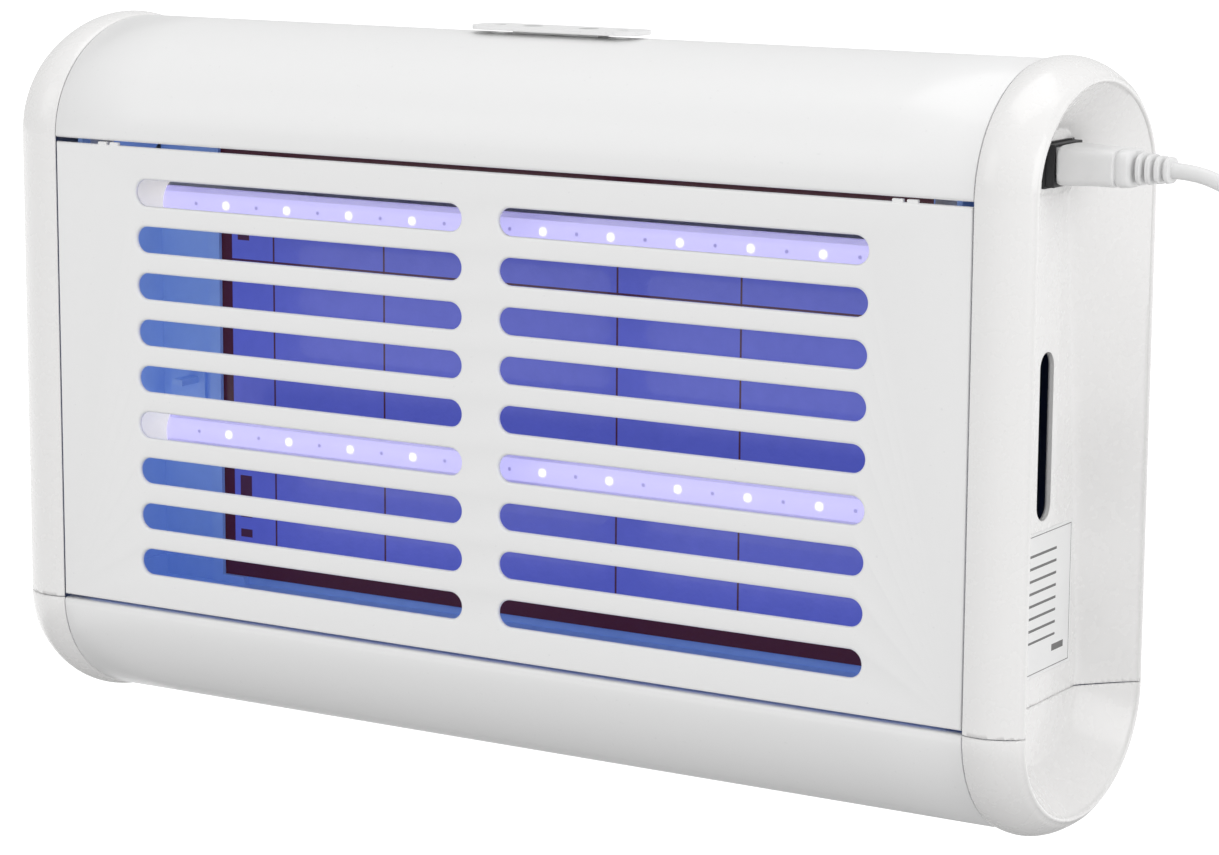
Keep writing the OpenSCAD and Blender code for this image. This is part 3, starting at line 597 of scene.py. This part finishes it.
def dome_skin(name, up, node):
    """A half ellipse, 68 by 55, carried along X, with a lip turned in at both lower edges."""
    a = np.radians(np.linspace(0, 180, 121))
    y, z = HALF_D * np.cos(a), DOME * np.sin(a)
    lip_y, lip_z = np.array([-6.5, -4, -1.6, -0.5, 0.0]), np.array([0.0, 0.0, 0.0, 0.35, 1.4])
    y = np.concatenate([HALF_D + lip_y, y[3:-3], -(HALF_D + lip_y)[::-1]])
    z = np.concatenate([lip_z, z[3:-3], lip_z[::-1]])
    level = MID_Z + (EDGE_UP + z if up else -EDGE_DOWN - z)
    x = np.array([-243.9, -243.4, -200, -100, 0, 100, 200, 243.4, 243.9])
    pull = np.array([0.4, 0, 0, 0, 0, 0, 0, 0, 0.4])
    P = np.stack([np.repeat(x[:, None], len(y), 1), y[None] * (1 - pull[:, None] / HALF_D),
                  level[None] + (-1 if up else 1) * pull[:, None] * (z[None] > 2)], axis=-1)
    piece = show(name, sheet_mesh(name, P, flip=up), "housing", WHITE, [node], 60)
    thicken(piece, COVER_WALL)


dome_skin("top_shell", True, "top_cover")
dome_skin("bottom_shell", False, "bottom_cover")


def cap_inset(x):
    """How far the cap's outside draws in, x mm out from the housing: a parabola, widest at 8 mm."""
    return (x - 8) ** 2 / 40 - 1.7


def cap_surface(pad, n=384):
    """One skin from the vent slot's wall, over the recess floor and its flanks, round the rim, to the seam.
    Every ring is a closed curve; a ring between two curves is their mean, weighted by how far along it lies.
    The flanks rise as a hyperbola does, from level to steep. pad raises a flat field for the inlet."""
    slot = tapered_outline(-24.5, 7, 35.5, 6.999, n)
    wide_slot = tapered_outline(-24.5, 7.6, 35.5, 7.599, n)
    floor = tapered_outline(-101, 38, 123, 14, n)
    rim = housing_outline(9.0, n)
    rings = [ring(slot, x) for x in (245.2, 246.2, 247.3, 247.8)] + [ring(wide_slot, CAP_FLOOR)]
    rings += [ring(wide_slot * (1 - s) + floor * s, CAP_FLOOR) for s in np.linspace(0, 1, 61)[1:-1]]
    e = 0.10
    for s in np.linspace(0, 1, 25):
        rise = (math.sqrt(s * s + e * e) - e) / (math.sqrt(1 + e * e) - e)
        rings.append(ring(floor * (1 - s) + rim * s, CAP_FLOOR + (CAP_RIM - CAP_FLOOR) * rise))
    for turn in np.radians(np.linspace(165, 15, 9)):
        rings.append(ring(housing_outline(7.7 - CAP_RIM_R * math.cos(turn), n),
                          CAP_RIM + CAP_RIM_R * math.sin(turn)))
    for x in np.linspace(24.3, 0.6, 22):
        rings.append(ring(housing_outline(cap_inset(x), n), HALF_W + x))
    rings += [ring(housing_outline(0.15, n), HALF_W + 0.15), ring(housing_outline(0.7, n), HALF_W + 0.02)]
    P = np.stack(rings)
    if pad:
        pad_low, pad_high, pad_half, pad_edge, pad_rise = 110.6, 137.4, 17.6, 1.4, 1.7
        y, z = P[..., 1], P[..., 2] - MID_Z
        raised = ramp((z - pad_low) / pad_edge) * ramp((pad_half - np.abs(y)) / pad_edge)
        raised *= ramp((pad_high - z) / pad_edge)
        P[..., 0] += pad_rise * raised * (P[..., 0] < CAP_FLOOR + 1.4)
    return P


def cut_at(mesh, level, keep_above):
    """Cuts the skin along a level plane and keeps the part above it or below it."""
    made = bmesh.new()
    made.from_mesh(mesh)
    bmesh.ops.bisect_plane(made, geom=made.verts[:] + made.edges[:] + made.faces[:],
                           plane_co=(0, 0, (MID_Z + level) * MM), plane_no=(0, 0, 1),
                           clear_inner=keep_above, clear_outer=not keep_above)
    made.to_mesh(mesh)
    made.free()
    return mesh


for side, sign in (("left", -1), ("right", 1)):
    skin = cap_surface(side == "right") * [sign, 1, 1]
    for part, node, level, above in (("cap", "end_cap", CAP_SEAM, True),
                                     ("low", "lower_cap", CAP_SEAM - SEAM_GAP, False)):
        name = f"{side}_{part}_skin"
        cut = cut_at(sheet_mesh(name, skin, around=True, flip=sign < 0), level, above)
        thicken(show(name, cut, "housing", CAP_WHITE, [f"{side}_{node}"], 50), CAP_WALL)


# ---------- grilles ----------


def stadium(x0, x1, z, h, n=20):
    """A slot from x0 to x1 and h high, whose ends are half circles of radius h / 2."""
    a = np.radians(np.linspace(-90, 90, n))
    right = np.column_stack([x1 - h / 2 + h / 2 * np.cos(a), z + h / 2 * np.sin(a)])
    left = np.column_stack([x0 + h / 2 - h / 2 * np.cos(a), z - h / 2 * np.sin(a)])
    return np.vstack([right, left])


def grille_plate(face):
    """A flat plate with its slots cut out and every edge rounded, stood up at the front or the rear."""
    round_edge = 1.35
    data = bpy.data.curves.new("plate", "CURVE")
    data.dimensions, data.fill_mode = "2D", "BOTH"
    data.extrude, data.bevel_depth, data.bevel_resolution = 0.15 * MM, round_edge * MM, 3
    data.offset = -round_edge * MM
    loops = [np.array([(-GRILLE_X, GRILLE_LOW), (GRILLE_X, GRILLE_LOW),
                       (GRILLE_X, GRILLE_HIGH), (-GRILLE_X, GRILLE_HIGH)])]
    for row in range(SLOT_ROWS):
        z = (SLOT_ROWS // 2 - row) * SLOT_PITCH + 0.4
        loops += [stadium(SLOT_START, SLOT_END, z, SLOT_H), stadium(-SLOT_END, -SLOT_START, z, SLOT_H)]
    for loop in loops:
        spline = data.splines.new("POLY")
        spline.points.add(len(loop) - 1)
        flat = np.column_stack([loop * MM, np.zeros(len(loop)), np.ones(len(loop))])
        spline.points.foreach_set("co", flat.ravel())
        spline.use_cyclic_u = True
    holder = bpy.data.objects.new("plate", data)
    bpy.context.scene.collection.objects.link(holder)
    bpy.context.view_layer.update()
    mesh = bpy.data.meshes.new_from_object(holder.evaluated_get(bpy.context.evaluated_depsgraph_get()))
    bpy.data.objects.remove(holder)
    stood_up = Matrix(((1, 0, 0, 0), (0, 0, -1, face * GRILLE_Y * MM), (0, 1, 0, MID_Z * MM), (0, 0, 0, 1)))
    mesh.transform(stood_up)
    made = bmesh.new()
    made.from_mesh(mesh)
    bmesh.ops.remove_doubles(made, verts=made.verts, dist=1e-6)
    bmesh.ops.recalc_face_normals(made, faces=made.faces)
    made.to_mesh(mesh)
    made.free()
    return mesh


def bars(name, boxes):
    """Plain bars, each from its lowest to its highest corner, in one mesh."""
    made = bmesh.new()
    for low, high in boxes:
        low, high = np.minimum(low, high), np.maximum(low, high)
        size, middle = (high - low) * MM, (high + low) / 2 * MM
        placed = Matrix.Translation(middle) @ Matrix.Diagonal((*size, 1))
        bmesh.ops.create_cube(made, size=1, matrix=placed)
    mesh = bpy.data.meshes.new(name)
    made.to_mesh(mesh)
    made.free()
    return mesh


for face, label in ((-1, "front"), (1, "rear")):
    grille = f"{label}_grille"
    show(f"{grille}_plate", grille_plate(face), grille, GRILLE_WHITE, [grille], 28)
    lower_rib = ((-225, face * 59.5, MID_Z - 82), (225, face * 65.4, MID_Z - 74.5))
    upper_rib = ((-225, face * 62.5, MID_Z + 104), (225, face * 65.4, MID_Z + 106))
    hinge_bead = ((-243.4, face * 63.2, MID_Z - 110.6), (243.4, face * 65.6, MID_Z - 106.4))
    tabs = [((x, face * 65.2, MID_Z + 110), (x + 5, face * 67.6, MID_Z + 112.5))
            for x in (-218, -211, 206, 213)]
    ribs = bars(f"{grille}_ribs", [lower_rib, upper_rib, hinge_bead, *tabs])
    soften(show(f"{grille}_ribs", ribs, grille, GRILLE_WHITE, smooth=False), 0.4)


# ---------- materials for the pieces kept as they are ----------

KEPT = [(BLUE_LIT_FRAME, ["left_side_frame", "right_side_frame", "centre_frame", "catch_tray",
                      "front_board_rails", "rear_board_rails"]),
        (ZINC, ["top_deck", "hanger_bolts", "cap_screws", "cover_screws", "hinge_pins"]),
        (CLIP_WHITE, ["front_catches", "rear_catches", "terminal_block"]),
        (BLACK, ["mains_inlet", "cord_tie"]),
        (BRASS, ["inlet_blades", "plug_pins"]),
        (CARD, ["front_glue_board", "rear_glue_board"]),
        (LABEL, ["rating_plate"]),
        (WHITE, ["hanger_plate"]),
        (WIRE_GREY, ["wiring"])]
for face in ("front", "rear"):
    for height in ("upper", "lower"):
        tube = f"{face}_{height}_tube"
        KEPT += [(ALUMINIUM, [tube + "_heatsink"]), (LENS, [tube + "_lens"]), (STRIP, [tube + "_leds"]),
                 (LAMP_WHITE_PAINTED_GLOW, [tube + "_ends", tube + "_holder_left", tube + "_holder_right"])]
for material, names in KEPT:
    for name in names:
        nodes[name].data.materials.clear()
        nodes[name].data.materials.append(material)


# ---------- floor and light ----------


def softbox(name, place, target, size, power):
    """A square white area light that faces its target."""
    data = bpy.data.lights.new(name, "AREA")
    data.shape, data.size, data.energy = "SQUARE", size, power
    lamp = bpy.data.objects.new(name, data)
    bpy.context.scene.collection.objects.link(lamp)
    lamp.location = place
    lamp.rotation_euler = (Vector(target) - Vector(place)).to_track_quat("-Z", "Y").to_euler()


slab = ((-FLOOR_HALF, -FLOOR_HALF, FLOOR_Z - 10), (FLOOR_HALF, FLOOR_HALF, FLOOR_Z))
floor = bpy.data.objects.new("floor", bars("floor", [slab]))
bpy.context.scene.collection.objects.link(floor)
floor.data.materials.append(PALE_FLOOR)

softbox("key", (-1.6, -2.6, 1.6), (0, 0, -0.17), 1.8, 9)
softbox("side", (2.6, -0.6, 0.9), (0.1, 0, -0.17), 1.6, 16)
softbox("top", (0.2, 0.4, 2.4), (0, 0, -0.17), 2.0, 18)

world = bpy.data.worlds.new("soft room")
bpy.context.scene.world = world
world.use_nodes = True
world.node_tree.nodes["Background"].inputs["Color"].default_value = (1, 1, 1, 1)
world.node_tree.nodes["Background"].inputs["Strength"].default_value = 0.7
bpy.context.scene.view_settings.view_transform = "Standard"
